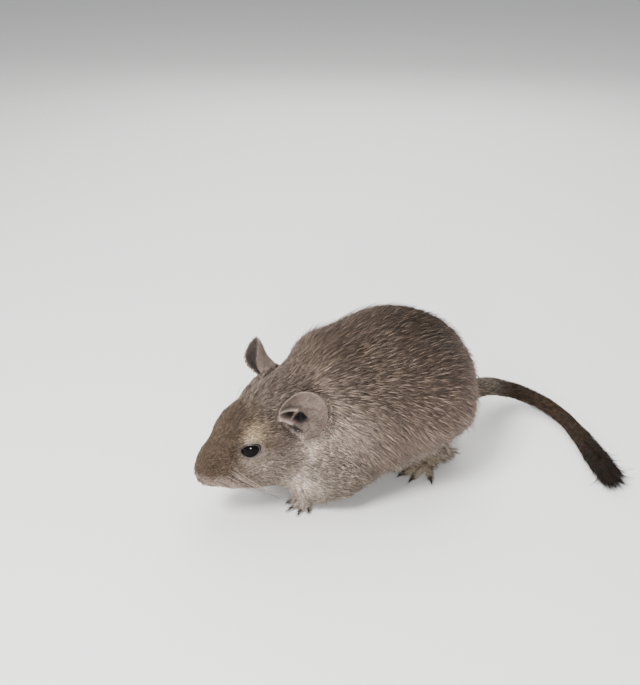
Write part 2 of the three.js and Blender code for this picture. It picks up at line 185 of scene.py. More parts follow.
def corners_of(piece, kind="co"):
    """Every corner's place in the scene, or its outward direction ("normal"), in rows."""
    values = np.empty(len(piece.data.vertices) * 3)
    piece.data.vertices.foreach_get(kind, values)
    return values.reshape(-1, 3)


def move_corners(piece, places):
    """Sets a piece's corners to places on the animal."""
    piece.data.vertices.foreach_set("co", in_scene(places).ravel())
    piece.data.update()


flesh = []
for name in FLESH:
    lump = bpy.data.objects.new("flesh_" + name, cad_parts[name].data.copy())
    bpy.context.collection.objects.link(lump)
    pick(lump)
    edit_all(bpy.ops.mesh.remove_doubles, threshold=1e-6)
    if name != "head" and "foot" not in name:
        swelling = lump.modifiers.new("swelling", "DISPLACE")
        swelling.mid_level = 0
        swelling.strength = CUT_CLOSING / 1000
        bpy.ops.object.modifier_apply(modifier="swelling")
    if name in ("head", "torso", "hindleg_left", "hindleg_right"):
        places = from_paws(corners_of(lump))
        if name == "head":
            along, up = on_head(places)
            rise = np.interp(along, [a for a, _ in BRIDGE], [r for _, r in BRIDGE], 0, 0)
            rise *= fade(up, 0.5, 5.5) * fade(np.abs(places[:, 0]), 12, 8)
            places[:, 1] -= rise * sin(HEAD_PITCH)
            places[:, 2] += rise * cos(HEAD_PITCH)
        else:
            tuck = fade(places[:, 2], 32, 8) * fade(places[:, 1], 18, 40)
            tuck *= 1 - 0.5 * fade(places[:, 1], 58, 76)
            places[:, 0] *= 1 - THIGH_TUCK * tuck
        move_corners(lump, places)
    flesh.append(lump)

# The eye sockets of the solids are filled with a ball of flesh each. The lids are shaped over
# the eyeballs later, once the skin is one piece.
SOCKET_FILLING = 0.0044  # metres


def eye_middle(side):
    return np.array([side * EYE[0], EYE[1], EYE[2]])


for side in (1, -1):
    bpy.ops.object.select_all(action="DESELECT")
    bpy.ops.mesh.primitive_uv_sphere_add(
        segments=32, ring_count=20, radius=SOCKET_FILLING, location=on_animal(*eye_middle(side))
    )
    flesh.append(bpy.context.object)

# The tail under its hair is a round tapered rope of flesh, laid along the same path as the
# solids. Most of it rests on the floor.
TAIL_PATH = [(0, 67.5, 20), (-3, 84, 17.5), (-6, 97, 11.5), (-3, 109, 5.6)]
TAIL_PATH += [(7.7, 113.8, 3.4), (21, 112.6, 3), (36.6, 108.3, 2.8), (46, 105.8, 2.4)]
TAIL_RADII = [3.6, 3.1, 2.7, 2.5, 2.3, 2.0, 1.5, 0.9]
bpy.ops.object.select_all(action="DESELECT")
bpy.ops.curve.primitive_bezier_curve_add(location=(0, 0, 0))
rope = bpy.context.object
spline = rope.data.splines[0]
spline.bezier_points.add(len(TAIL_PATH) - 2)
for point, place, radius in zip(spline.bezier_points, TAIL_PATH, TAIL_RADII):
    point.co = on_animal(*place)
    point.radius = radius
    point.handle_left_type = point.handle_right_type = "AUTO"
spline.resolution_u = 12
rope.data.dimensions = "3D"
rope.data.bevel_depth = 0.001
rope.data.bevel_resolution = 5
rope.data.use_fill_caps = True
bpy.ops.object.convert(target="MESH")
rope = bpy.context.object
flesh.append(rope)

# Each ear is a thin round shell of bare skin, 17 mm high. Its front rim curls over, and in the
# hollow behind that lie the ear canal, a second pit, three low folds and a groove. The far ear
# is turned forward and its sides are drawn together into a deep scoop.
EAR_HEIGHT = 17.0
EAR_WIDTH = 15.4
EAR_SHELL = 0.85
EARS = {
    "near": (Vector((13.6, -6.0, 36.4)), Vector((0.28, 0.39, 0.876)), Vector((0.82, -0.57, 0))),
    "far": (Vector((-10.8, -4.7, 39.8)), Vector((-0.38, -0.05, 0.95)), Vector((-0.08, -1, 0))),
}
CANAL = (-0.01, -0.38)
UPPER_FOLD = ((0.88, -0.3), (0.3, -0.02))
UPRIGHT_FOLD = ((0.27, -0.12), (0.27, -0.58))
LOWER_FOLD = ((0.66, -0.66), (0.15, -0.7))
GROOVE = ((0.1, -0.85), (-0.32, -0.82))


def ear_axes(which):
    """The foot of an ear, and its directions: across to the front rim, up, and out of the cup."""
    root, up, facing = EARS[which]
    up = up.normalized()
    out = (facing - up * facing.dot(up)).normalized()
    return np.array(root), np.array(out.cross(up)), np.array(up), np.array(out)


def along_line(x, y, start, end, width):
    """1 on the line between two places of the ear, fading to 0 at about width to its side."""
    start, end = np.array(start), np.array(end)
    run = end - start
    share = ((x - start[0]) * run[0] + (y - start[1]) * run[1]) / run.dot(run)
    share = np.clip(share, 0, 1)
    gap = (x - start[0] - share * run[0]) ** 2 + (y - start[1] - share * run[1]) ** 2
    return np.exp(-gap / width**2)


def ear_reach(which, x, y):
    """How far the outline reaches beyond a circle towards x, y: it is fuller at its lower rear."""
    if which == "far":
        return 1 + 0.28 * np.exp(-(((np.arctan2(-y, np.abs(x)) - pi / 4) / 0.6) ** 2))
    return 1 + 0.18 * np.exp(-(((np.arctan2(-y, -x) - pi / 4) / 0.6) ** 2))


def ear_cup(which, x, y):
    """How far the shell stands out at a place of the ear, x and y running from -1 to 1."""
    if which == "far":
        chord = np.minimum(x * x / np.maximum(1.1 - y * y, 0.1) ** 0.6, 1)
        side = (1 - np.sqrt(1 - 0.95 * chord)) / 0.776 * np.maximum(1.02 - y * y, 0.02) ** 0.3
        floor = -2.6 - 4.0 * fade(y, 0.4, -0.7) + 1.2 * np.maximum(y, 0) ** 2
        return floor + (4.0 - floor) * side
    r2 = np.minimum(x * x + y * y, 1)
    cup = -1.9 + 1.3 * r2 * r2 + np.where(x > 0, 3.0, 1.4) * x**4
    cup -= 2.8 * np.exp(-((x - CANAL[0]) ** 2 / 0.05 + (y - CANAL[1]) ** 2 / 0.045))
    cup -= 2.0 * np.exp(-((x - 0.44) ** 2 / 0.035 + (y + 0.46) ** 2 / 0.024))
    cup += 1.3 * along_line(x, y, *UPPER_FOLD, 0.09)
    cup += 0.9 * along_line(x, y, *UPRIGHT_FOLD, 0.06)
    cup += 1.2 * along_line(x, y, *LOWER_FOLD, 0.07)
    cup -= 0.9 * along_line(x, y, *GROOVE, 0.08)
    return cup


def on_ear(which, places):
    """Each place's x and y on the ear, and how far out it lies from the shell."""
    root, across, up, out = ear_axes(which)
    rel = places - root
    y = rel @ up / EAR_HEIGHT * 2 - 1
    x = rel @ across / (EAR_WIDTH / 2)
    reach = ear_reach(which, x, y)
    x, y = x / reach, y / reach
    return x, y, rel @ out - ear_cup(which, x, y)


for which in EARS:
    root, across, up, out = ear_axes(which)
    bpy.ops.object.select_all(action="DESELECT")
    bpy.ops.mesh.primitive_uv_sphere_add(segments=72, ring_count=48, radius=1, location=(0, 0, 0))
    ball = bpy.context.object
    x, y, side = corners_of(ball).T
    reach = ear_reach(which, x, y)
    half_shell = EAR_SHELL / 2 * np.sign(side) * np.maximum(0, 1 - (x * x + y * y) ** 3) ** 0.5
    places = root + np.outer(EAR_HEIGHT / 2 * (1 + y * reach), up)
    places += np.outer(EAR_WIDTH / 2 * x * reach, across)
    places += np.outer(ear_cup(which, x, y) + half_shell, out)
    move_corners(ball, places)
    flesh.append(ball)

# The skin is one closed surface. All the flesh is fused into it, its facets are rubbed down,
# and it is drawn in by the depth of the coat that lies on it.
SKIN_VOXEL = 0.00037  # metres
SKIN_FACES = 180000
TRUNK_COAT = 2.0
FACE_COAT = 0.7
TAIL_COAT = 0.3
skin = flesh[0]
pick(*flesh)
bpy.ops.object.join()
skin.name = "skin"
skin.data.name = "skin"
skin.data.materials.clear()
skin.data.remesh_voxel_size = SKIN_VOXEL
bpy.ops.object.voxel_remesh()


def near(places, centre, radius):
    """1 at a place on the animal, fading to 0 at about twice the radius."""
    return np.exp(-((places - np.array(centre)) ** 2).sum(1) / radius**2)


def unit(rows):
    return rows / np.maximum(np.linalg.norm(rows, axis=1), 1e-9)[:, None]


def ear_mask(places):
    """How surely each place lies on an ear's shell, and its x, y, height and which ear."""
    mask = np.zeros(len(places))
    spot = np.zeros((len(places), 4))
    for far, which in enumerate(EARS):
        x, y, height = on_ear(which, places)
        here = fade(np.abs(height), 1.1, 0.6) * fade(x * x + y * y, 1.25, 1.08)
        rows = np.stack([x, y, height, np.full(len(x), far)], 1)
        spot = np.where((here > mask)[:, None], rows, spot)
        mask = np.maximum(mask, here)
    return mask, spot


def ear_gap(places):
    """How far each place lies from the middle of the nearer ear, where the rim lies at 1."""
    gap = np.full(len(places), 9.0)
    for which in EARS:
        x, y, height = on_ear(which, places)
        gap = np.minimum(gap, np.where(np.abs(height) < 6, np.hypot(x, y), 9.0))
    return gap


def foot_mask(places):
    """1 on the four feet, and 0 on the furred heels and a few millimetres above the feet."""
    mask = np.zeros(len(places))
    for name in ("forefoot_left", "forefoot_right", "hindfoot_left", "hindfoot_right"):
        low, high = (from_paws(np.array([list(v)]))[0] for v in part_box(name))
        inside = np.ones(len(places))
        for axis in (0, 1):
            inside *= fade(places[:, axis], low[axis] - 1.5, low[axis])
            inside *= fade(places[:, axis], high[axis] + 1.5, high[axis])
        if name.startswith("hind"):
            inside *= fade(places[:, 1], 53, 49)
        mask = np.maximum(mask, inside * fade(places[:, 2], 6.5, 4.0))
    return mask


# The head's flesh would fill the lower half of each ear's hollow, so it is pressed back there
# onto the shell.
skin_places = from_paws(corners_of(skin))
for which in EARS:
    x, y, height = on_ear(which, skin_places)
    pressed = fade(np.hypot(x, y), 1.0, 0.88) * fade(height, 0.5, 0.9) * fade(height, 7, 5)
    skin_places -= np.outer(pressed * (height - 0.42), ear_axes(which)[3])
move_corners(skin, skin_places)
along, up = on_head(skin_places)
ear, ear_spot = ear_mask(skin_places)
ear *= np.clip(fade(along, 10, 7) + fade(up, 3, 5), 0, 1)
foot = foot_mask(skin_places)
tail = fade(skin_places[:, 1], 74, 80)
eye_gap = from_eye(skin_places)
nose = fade(along, 34, 38)
lips = fade(along, 27, 31) * fade(up, -3.5, -5)
fine = np.maximum.reduce([ear, foot, 0.9 * tail, nose, lips])
face = fade(along, -4, 6) * (1 - fine)
trunk = np.clip(1 - fine - face, 0, 1)

for group_name, share, rounds in (("trunk", trunk, 120), ("face", face, 36), ("fine", fine, 4)):
    group = skin.vertex_groups.new(name=group_name)
    steps = np.round(share * 10).astype(int)
    for step in range(1, 11):
        members = np.nonzero(steps == step)[0]
        group.add(members.tolist(), step / 10, "REPLACE")
    bpy.context.view_layer.objects.active = skin
    rubbing = skin.modifiers.new("rubbing", "SMOOTH")
    rubbing.factor = 0.5
    rubbing.iterations = rounds
    rubbing.vertex_group = group_name
    bpy.ops.object.modifier_apply(modifier="rubbing")

coat_depth = TRUNK_COAT - (TRUNK_COAT - FACE_COAT) * fade(along, -10, 14)
coat_depth = coat_depth * (1 - tail) + TAIL_COAT * tail
coat_depth *= (1 - ear) * (1 - foot) * fade(eye_gap, 4.8, 8)
drawn_in = coat_depth + CUT_CLOSING * trunk
skin_places = from_paws(corners_of(skin)) - corners_of(skin, "normal") * drawn_in[:, None]

# The lids are a fold of skin that hugs the eyeball, open in an almond 7 mm long. Behind the
# opening the skin passes behind the eyeball.
EYE_RADIUS = 3.8
LID_HALF_LENGTH = 3.35
LID_HALF_HEIGHT = 2.35
EYE_AXES = {}
for side in (1, -1):
    axis = Vector((0.86 * side, -0.47, 0.17)).normalized()
    level = Vector((-0.29 * side, -0.92, -0.27))
    level = (level - axis * level.dot(axis)).normalized()
    EYE_AXES[side] = (level, level.cross(axis) * side, axis)


def eye_opening(places, side):
    """How far out each place is as seen from the eye, in half-widths of the lid opening."""
    level, upright, axis = (np.array(v) for v in EYE_AXES[side])
    rel = places - eye_middle(side)
    gap = np.linalg.norm(rel, axis=1)
    toward = rel / np.maximum(gap, 1e-6)[:, None]
    ahead = toward @ axis
    wide = toward @ level * EYE_RADIUS / LID_HALF_LENGTH
    high = toward @ upright * EYE_RADIUS / LID_HALF_HEIGHT
    almond = np.sqrt(wide**2 + high**2 * (1 + 0.35 * wide**2))
    return np.where(ahead > 0, almond, 9.0), gap, rel


for side in (1, -1):
    opening, gap, rel = eye_opening(skin_places, side)
    lid = 3.1 + 1.15 * fade(opening, 0.86, 1.1) + 0.35 * fade(opening, 1.1, 1.35)
    hold = fade(gap, 8.5, 5.2) * fade(opening, 2.2, 1.45)
    hold = np.where(opening < 1.2, fade(gap, 8.5, 6.5), hold)
    wanted = np.where(opening < 1.2, lid, np.maximum(gap * 0.35 + lid * 0.65, lid))
    new_gap = gap * (1 - hold) + wanted * hold
    held = eye_middle(side) + rel * (new_gap / np.maximum(gap, 1e-6))[:, None]
    skin_places = np.where((hold > 0)[:, None], held, skin_places)

# Two small nostrils, the cleft below them and the shut mouth are dented into the snout. Cleft
# and mouth are lines on the left side, each with its width, and are mirrored to the right.
NOSTRIL = (1.6, -35.0, 17.7)
MOUTH = [
    ((0.1, -34.6, 16.4), (0.1, -32.3, 14.8), 0.4),
    ((0.1, -32.3, 14.8), (4.3, -28.6, 14.2), 0.5),
]
SOLE_HEIGHT = 0.05


def line_gap(places, start, end):
    """How far each place lies from the line between two others, squared, and how far along."""
    run = np.array(end) - np.array(start)
    rel = places - np.array(start)
    share = np.clip(rel @ run / (run @ run), 0, 1)
    return ((rel - share[:, None] * run) ** 2).sum(1), share


left = mirrored(skin_places)
dent = 0.8 * near(left, NOSTRIL, 0.7)
for start, end, wide in MOUTH:
    dent = np.maximum(dent, 0.4 * np.exp(-line_gap(left, start, end)[0] / wide**2))
skin_places -= corners_of(skin, "normal") * dent[:, None]
skin_places[:, 2] = np.maximum(skin_places[:, 2], SOLE_HEIGHT)
move_corners(skin, skin_places)
pick(skin)
bpy.ops.object.shade_smooth()

# Each foot has four toes. For each are given where it ends, which way it points, and the
# length and root radius of its claw. The skin is dark where it fills a claw.
TOES = []
for side in (1, -1):
    for turn, reach in ((-12, 6.2), (14, 7.0), (40, 6.8), (66, 5.4)):
        ahead = Vector((side * sin(radians(turn)), -cos(radians(turn)), 0))
        tip = Vector((side * 8, 2.5, 0)) + ahead * reach
        TOES.append((Vector((tip.x, tip.y, 1.0)), ahead, 2.1, 0.62))
    for x, y in ((8.6, 41), (11.8, 40), (15.4, 41.6), (18.4, 47)):
        tip = Vector((side * x, y, 1.1))
        ahead = (tip - Vector((side * 12.3, 49.5, 1.1))).normalized()
        TOES.append((tip, ahead, 3.1, 0.85))


# Its markings: brown-grey over the back, paler down the flanks, palest on shoulder, cheek and
# belly, a cream patch over each eye, and a tail that turns from grey to black. Painted shade
# darkens the nostrils, the mouth and a fold behind each ear. Each hair's colour is looked up
# here as well, so that skin and coat agree.
def paint(red, green, blue):
    """A colour as seen on a screen, 0 to 255, as the linear colour that a shader mixes."""
    c = np.array([red, green, blue]) / 255
    return np.where(c <= 0.04045, c / 12.92, ((c + 0.055) / 1.055) ** 2.4)


def ripple(places, size, seed):
    """Smooth noise from about -1 to 1, whose bumps are about size millimetres across."""
    draw = np.random.default_rng(seed)
    total = np.zeros(len(places))
    for _ in range(7):
        heading = draw.normal(size=3)
        heading *= 2 * pi / size / np.linalg.norm(heading) * draw.uniform(0.6, 1.4)
        total += np.sin(places @ heading + draw.uniform(0, 2 * pi))
    return total / 2.6


def laid(base, mask, red, green, blue):
    """The base colours, with another one laid over them as strongly as the mask says."""
    mask = np.clip(mask, 0, 1)[:, None]
    return base * (1 - mask) + mask * paint(red, green, blue)


def markings_and_painted_shading(places, normals):
    """The colour of skin and coat at places on the animal, painted shade included."""
    x, y, z = places.T
    along, up = on_head(places)
    left = mirrored(places)
    tone = np.tile(paint(78, 66, 57), (len(places), 1))

    def lay(mask, *colour):
        nonlocal tone
        tone = laid(tone, mask, *colour)

    lay(fade(z + 3 * ripple(places, 30, 5), 61, 30), 130, 113, 102)
    lay(fade(z, 20, 8) * fade(normals[:, 2], 0.5, -0.3), 162, 149, 139)
    lay(fade(y, 50, 74) * fade(z, 14, 30), 136, 115, 104)
    lay(0.75 * near(left, (28, 42, 27), 13), 143, 124, 113)
    lay(0.9 * fade(z, 20, 12) * fade(y, 36, 42) * fade(y, 70, 62), 160, 146, 133)
    lay(0.9 * near(left, (20, 8, 34), 14), 170, 153, 141)
    lay(0.8 * near(left, (9, 22, 47), 15), 102, 88, 78)
    head = fade(along, -10, 2)
    lay(head, 80, 68, 57)
    lay(head * fade(along, 18, 4), 106, 94, 86)
    lay(head * fade(up, 2, -6), 143, 130, 119)
    lay(0.95 * fade(along, 6, 33) * fade(up, -10, 1), 84, 70, 58)
    lip = fade(up - 0.7 * (along - 34.6), 1.5, -3.5) * fade(along, 40.5, 37.5)
    lay(fade(along, 22, 31) * lip, 158, 139, 127)
    lay(0.9 * near(left, (8.6, -17.8, 36.6), 3.4), 166, 146, 119)
    lay(0.5 * near(left, (9.5, -19, 25.5), 4.5), 162, 148, 134)
    # A dark line runs back from the eye, and painted shade darkens the fold behind and below each
    # ear.
    for start, end, wide, colour in (
        ((12, -16, 31.6), (15, -7.9, 33.5), 0.9, (74, 60, 52)),
        ((17.9, 1.1, 33), (20.4, 4.2, 23), 1.4, (84, 70, 62)),
    ):
        gap, share = line_gap(left, start, end)
        lay(0.9 * np.exp(-gap / wide**2) * (1 - 0.5 * share), *colour)
    for place, radius, share, colour in (
        ((21, 8, 35.5), 8, 0.6, (192, 174, 161)),
        ((8.6, -12, 13.6), 4.5, 0.6, (120, 108, 99)),
        ((13.4, -11.7, 36.2), 3.2, 0.55, (134, 118, 106)),
    ):
        lay(share * near(left, place, radius), *colour)
    lay(0.6 * fade(from_eye(places), 5.1, 4.4), 64, 52, 46)
    lay(0.65 * near(left, (15.8, -2, 29.5), 4.4), 200, 182, 168)
    lay(0.85 * near(left, (12, -3.5, 14), 6), 200, 185, 174)
    lay(0.8 * near(left, (0, -35, 17.6), 1.7), 122, 98, 90)
    # The nostrils and the lines of cleft and mouth are painted dark: painted shade in their dents.
    lay(0.95 * near(left, NOSTRIL, 0.75), 34, 24, 22)
    for start, end, wide in MOUTH:
        shade = np.exp(-line_gap(left, start, end)[0] / (1.1 * wide) ** 2)
        lay(0.8 * shade, 70, 52, 46)
    lay(fade(z, 7, 3) * fade(y, 74, 70), 150, 136, 124)
    lay(fade(z, 6.5, 4) * fade(y, 30, 35) * fade(y, 55, 51), 150, 137, 118)
    for tip, ahead, length, _ in TOES:
        if tip.x > 0:
            gap, _ = line_gap(left, tip + ahead * 0.9, tip + ahead * (length + 0.6))
            lay(0.95 * fade(np.sqrt(gap), 1.5, 0.9), 26, 20, 17)
    tail = fade(y, 72, 79)
    lay(tail, 103, 94, 83)
    lay(tail * fade(y - 0.6 * x, 86, 102), 56, 44, 34)
    lay(tail * fade(x, 6, 20), 50, 40, 30)
    lay(tail * fade(x, 20, 36), 34, 26, 20)
    return tone


def ear_paint(spot):
    """Bare grey-pink ear skin, darker low in its hollow and at the near ear's very edge.

    Painted shade darkens the canal, the second pit, the groove, the crease beside the upper
    fold and the far ear's scoop. Painted light brightens the folds and the front rim.
    """
    x, y, height, far = spot.T
    inner = fade(height, -0.2, 0.2)
    hollow = laid(np.tile(paint(86, 73, 66), (len(x), 1)), fade(y, -0.1, 0.5), 101, 86, 78)
    tone = hollow * inner[:, None] + paint(108, 94, 85) * (1 - inner)[:, None]
    tone = tone * (1 + 0.1 * ripple(np.stack([8 * x, 8 * y, height], 1), 3, 8))[:, None]
    # Painted shade: the canal and the line beside it, the second pit, the groove and the crease
    # beside the upper fold are darkened, and the far ear's scoop too.
    dark = np.maximum.reduce(
        [
            1.7 * np.exp(-(((x - CANAL[0]) / 0.22) ** 4 + ((y - CANAL[1]) / 0.22) ** 4)),
            0.7 * along_line(x, y, (0.0, -0.3), (-0.24, -0.3), 0.1),
            1.3 * np.exp(-(((x - 0.45) / 0.24) ** 2 + ((y + 0.45) / 0.15) ** 2)),
            0.9 * along_line(x, y, *GROOVE, 0.1),
            0.5 * along_line(x, y, (0.85, -0.14), (0.3, 0.12), 0.06),
        ]
    )
    dark = np.clip(dark, 0, 1) * (1 - far) + 0.8 * far * fade(x, -0.35, 0.3)
    tone = laid(tone, dark * inner, 14, 9, 9)
    # Painted light: the ridges of the folds and the front rim are lightened.
    pale = 0.6 * along_line(x, y, *UPPER_FOLD, 0.06)
    pale = np.maximum(pale, 0.9 * along_line(x, y, *LOWER_FOLD, 0.07))
    pale = np.maximum(pale, 0.25 * along_line(x, y, *UPRIGHT_FOLD, 0.05))
    pale *= 1 - far
    pale = np.maximum(pale, 0.55 * fade(x * x + y * y, 0.86, 0.97) * fade(x, -0.4, 0.5))
    tone = laid(tone, pale, 160, 141, 130)
    rim = 0.5 * fade(x * x + y * y, 0.98, 1.04) * (1 - far)
    return laid(tone, rim, 58, 46, 40)


def add_colour_attribute(mesh, rows):
    attribute = mesh.color_attributes.new(name="markings_and_painted_shading", type="FLOAT_COLOR", domain="POINT")
    values = np.ones((len(rows), 4), dtype=np.float32)
    values[:, :3] = rows
    attribute.data.foreach_set("color", values.ravel())


def marked_look(name, roughness, gloss, grain, mottling):
    """A finish that shows a piece's colours, painted shading included, mottled by a fine grain,
    which it gives too.
    """
    look = bpy.data.materials.new(name)
    look.use_nodes = True
    nodes = look.node_tree.nodes
    links = look.node_tree.links
    shader = nodes["Principled BSDF"]
    shader.inputs["Roughness"].default_value = roughness
    shader.inputs["Specular IOR Level"].default_value = gloss
    marking = nodes.new("ShaderNodeAttribute")
    marking.attribute_name = "markings_and_painted_shading"
    place = nodes.new("ShaderNodeTexCoord")
    specks = nodes.new("ShaderNodeTexNoise")
    specks.inputs["Scale"].default_value = grain
    links.new(place.outputs["Object"], specks.inputs["Vector"])
    mottle = nodes.new("ShaderNodeMapRange")
    mottle.inputs["To Min"].default_value = 1 - mottling
    mottle.inputs["To Max"].default_value = 1 + mottling
    links.new(specks.outputs["Fac"], mottle.inputs["Value"])
    tinted = nodes.new("ShaderNodeVectorMath")
    tinted.operation = "SCALE"
    links.new(marking.outputs["Color"], tinted.inputs["Vector"])
    links.new(mottle.outputs["Result"], tinted.inputs["Scale"])
    links.new(tinted.outputs["Vector"], shader.inputs["Base Color"])
    return look, specks


# The skin is soft, finely pored and barely glossy. Under the coat it is a fifth darker than
# the hair that grows from it.
BARE_SKIN = 0.8
skin_normals = corners_of(skin, "normal")
skin_tone = markings_and_painted_shading(skin_places, skin_normals) * BARE_SKIN
skin_tone = skin_tone * (1 - ear)[:, None] + ear_paint(ear_spot) * ear[:, None]
add_colour_attribute(skin.data, skin_tone)
skin_look, pores = marked_look("degu_skin", roughness=0.62, gloss=0.3, grain=900, mottling=0.18)
pores.inputs["Detail"].default_value = 3
relief = skin_look.node_tree.nodes.new("ShaderNodeBump")
relief.inputs["Strength"].default_value = 0.35
relief.inputs["Distance"].default_value = 0.0002
skin_shader = skin_look.node_tree.nodes["Principled BSDF"]
skin_look.node_tree.links.new(pores.outputs["Fac"], relief.inputs["Height"])
skin_look.node_tree.links.new(relief.outputs["Normal"], skin_shader.inputs["Normal"])
skin.data.materials.append(skin_look)
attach(skin, "root")
tail_nodes = ["tail_base", "tail_middle", "tail_tuft"]
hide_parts(*FLESH, "ear_left", "ear_right", *tail_nodes)

# The hair grows from the whole surface, as it is before it is thinned. So its triangles are
# kept here, with their areas.
skin.data.calc_loop_triangles()
skin_faces = np.empty(len(skin.data.loop_triangles) * 3, dtype=np.int32)
skin.data.loop_triangles.foreach_get("vertices", skin_faces)
skin_faces = skin_faces.reshape(-1, 3)
first, second, third = (skin_places[skin_faces[:, k]] for k in range(3))
skin_areas = np.linalg.norm(np.cross(second - first, third - first), axis=1) / 2

# Plain trunk skin that the coat hides needs few faces, so the skin is thinned there.
thinning = skin.modifiers.new("thinning", "DECIMATE")
thinning.ratio = min(1, SKIN_FACES / len(skin_faces))
thinning.vertex_group = "trunk"
thinning.vertex_group_factor = 1.0
bpy.context.view_layer.objects.active = skin
bpy.ops.object.modifier_apply(modifier="thinning")

# A coarse copy of the skin is unwrapped. Each tuft's patch of texture lies where its root is
# on this unwrap.
UNWRAP_FACES = 9000
PATCH = 0.0015  # half the width of a tuft's patch, of a map 1 wide
pattern = skin.copy()
pattern.data = skin.data.copy()
bpy.context.collection.objects.link(pattern)
pick(pattern)
coarser = pattern.modifiers.new("coarser", "DECIMATE")
coarser.ratio = UNWRAP_FACES / len(skin.data.polygons)
bpy.ops.object.modifier_apply(modifier="coarser")
bpy.ops.object.mode_set(mode="EDIT")
bpy.ops.mesh.select_all(action="SELECT")
bpy.ops.mesh.quads_convert_to_tris()
bpy.ops.uv.smart_project(angle_limit=radians(75), island_margin=0.004)
bpy.ops.object.mode_set(mode="OBJECT")
pattern_tree = BVHTree.FromObject(pattern, bpy.context.evaluated_depsgraph_get())
pattern_uv = np.empty(len(pattern.data.loops) * 2)
pattern.data.uv_layers.active.data.foreach_get("uv", pattern_uv)
pattern_uv = pattern_uv.reshape(-1, 3, 2)
pattern_corners = np.empty(len(pattern.data.loops), dtype=np.int32)
pattern.data.loops.foreach_get("vertex_index", pattern_corners)
pattern_places = corners_of(pattern)[pattern_corners].reshape(-1, 3, 3)
bpy.data.objects.remove(pattern)


def places_on_unwrap(places):
    """Where places on the skin lie on its unwrap."""
    hit = np.empty(len(places), dtype=np.int64)
    spot = np.empty((len(places), 3))
    for i, place in enumerate(in_scene(places)):
        where, _, face, _ = pattern_tree.find_nearest(Vector(place))
        hit[i] = face
        spot[i] = where
    corners = pattern_places[hit]
    a = corners[:, 1] - corners[:, 0]
    b = corners[:, 2] - corners[:, 0]
    c = spot - corners[:, 0]
    aa, ab, bb = (a * a).sum(1), (a * b).sum(1), (b * b).sum(1)
    ac, bc = (a * c).sum(1), (b * c).sum(1)
    whole = np.maximum(aa * bb - ab * ab, 1e-20)
    v = np.clip((bb * ac - ab * bc) / whole, 0, 1)
    w = np.clip((aa * bc - ab * ac) / whole, 0, 1)
    uv = pattern_uv[hit]
    return uv[:, 0] + (uv[:, 1] - uv[:, 0]) * v[:, None] + (uv[:, 2] - uv[:, 0]) * w[:, None]


# The eyes are wet balls, nearly black all over, and sit in the sockets behind the lids. Round
# each opening runs the lid's edge, a bare, dark and moist rim that rests on the eyeball.
def moist_look(name, colour, roughness, gloss):
    look = bpy.data.materials.new(name)
    look.use_nodes = True
    shader = look.node_tree.nodes["Principled BSDF"]
    shader.inputs["Base Color"].default_value = (*colour, 1)
    shader.inputs["Roughness"].default_value = roughness
    shader.inputs["Specular IOR Level"].default_value = gloss
    return look


LID_EDGE = 0.3
RING_TUBE = 0.1
eye_look = moist_look("wet_dark_eye", (0.002, 0.0015, 0.0014), roughness=0.12, gloss=0.05)
lid_look = moist_look("moist_lid_edge", (0.016, 0.011, 0.010), roughness=0.4, gloss=0.3)
for side, name in ((1, "left"), (-1, "right")):
    level, upright, axis = EYE_AXES[side]
    centre = Vector(eye_middle(side))
    bpy.ops.object.select_all(action="DESELECT")
    bpy.ops.mesh.primitive_uv_sphere_add(
        segments=64, ring_count=40, radius=EYE_RADIUS / 1000, location=on_animal(*centre)
    )
    eyeball = bpy.context.object
    eyeball.name = "eyeball_" + name
    bpy.ops.object.transform_apply(location=True, rotation=True, scale=True)
    bpy.ops.object.shade_smooth()
    eyeball.data.materials.append(eye_look)
    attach(eyeball, "root")
    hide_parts("eye_" + name)

    bpy.ops.object.select_all(action="DESELECT")
    bpy.ops.mesh.primitive_torus_add(
        major_segments=72,
        minor_segments=10,
        major_radius=1,
        minor_radius=RING_TUBE,
        location=(0, 0, 0),
    )
    edge = bpy.context.object
    edge.name = "lid_edge_" + name
    for corner in edge.data.vertices:
        ring = Vector((corner.co.x, corner.co.y, 0))
        turn = np.arctan2(ring.y, ring.x)
        swell = (ring.length - 1) / RING_TUBE
        rise = corner.co.z / RING_TUBE
        thick = LID_EDGE + 0.2 * abs(cos(turn)) ** 6
        wide = (3.4 + 0.45 * max(0, cos(turn)) ** 8) * cos(turn)
        high = LID_HALF_HEIGHT * sin(turn) * (1 - 0.12 * cos(turn) ** 2)
        wide += swell * thick * cos(turn)
        high += swell * thick * sin(turn)
        depth = max(0, (EYE_RADIUS + 0.12) ** 2 - wide**2 - high**2) ** 0.5
        place = centre + level * wide + upright * high + axis * (depth + rise * thick * 0.8)
        corner.co = on_animal(*place)
    edit_all(bpy.ops.mesh.normals_make_consistent, inside=False)
    bpy.ops.object.shade_smooth()
    edge.data.materials.append(lid_look)
    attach(edge, "root")

# The claws are short, curved and dark brown with a fine paler grain. Each is a cone of horn
# whose root sits in the end of its toe.
claw_look = bpy.data.materials.new("dark_claw")
claw_look.use_nodes = True
nodes = claw_look.node_tree.nodes
links = claw_look.node_tree.links
horn = nodes["Principled BSDF"]
horn.inputs["Roughness"].default_value = 0.3
place = nodes.new("ShaderNodeTexCoord")
grain = nodes.new("ShaderNodeTexNoise")
grain.inputs["Scale"].default_value = 1400
links.new(place.outputs["Object"], grain.inputs["Vector"])
horn_tone = nodes.new("ShaderNodeValToRGB")
horn_tone.color_ramp.elements[0].color = (0.006, 0.005, 0.004, 1)
horn_tone.color_ramp.elements[1].color = (0.045, 0.034, 0.027, 1)
links.new(grain.outputs["Fac"], horn_tone.inputs["Fac"])
links.new(horn_tone.outputs["Color"], horn.inputs["Base Color"])
CLAW_BENDS = (0.35, 0.7)


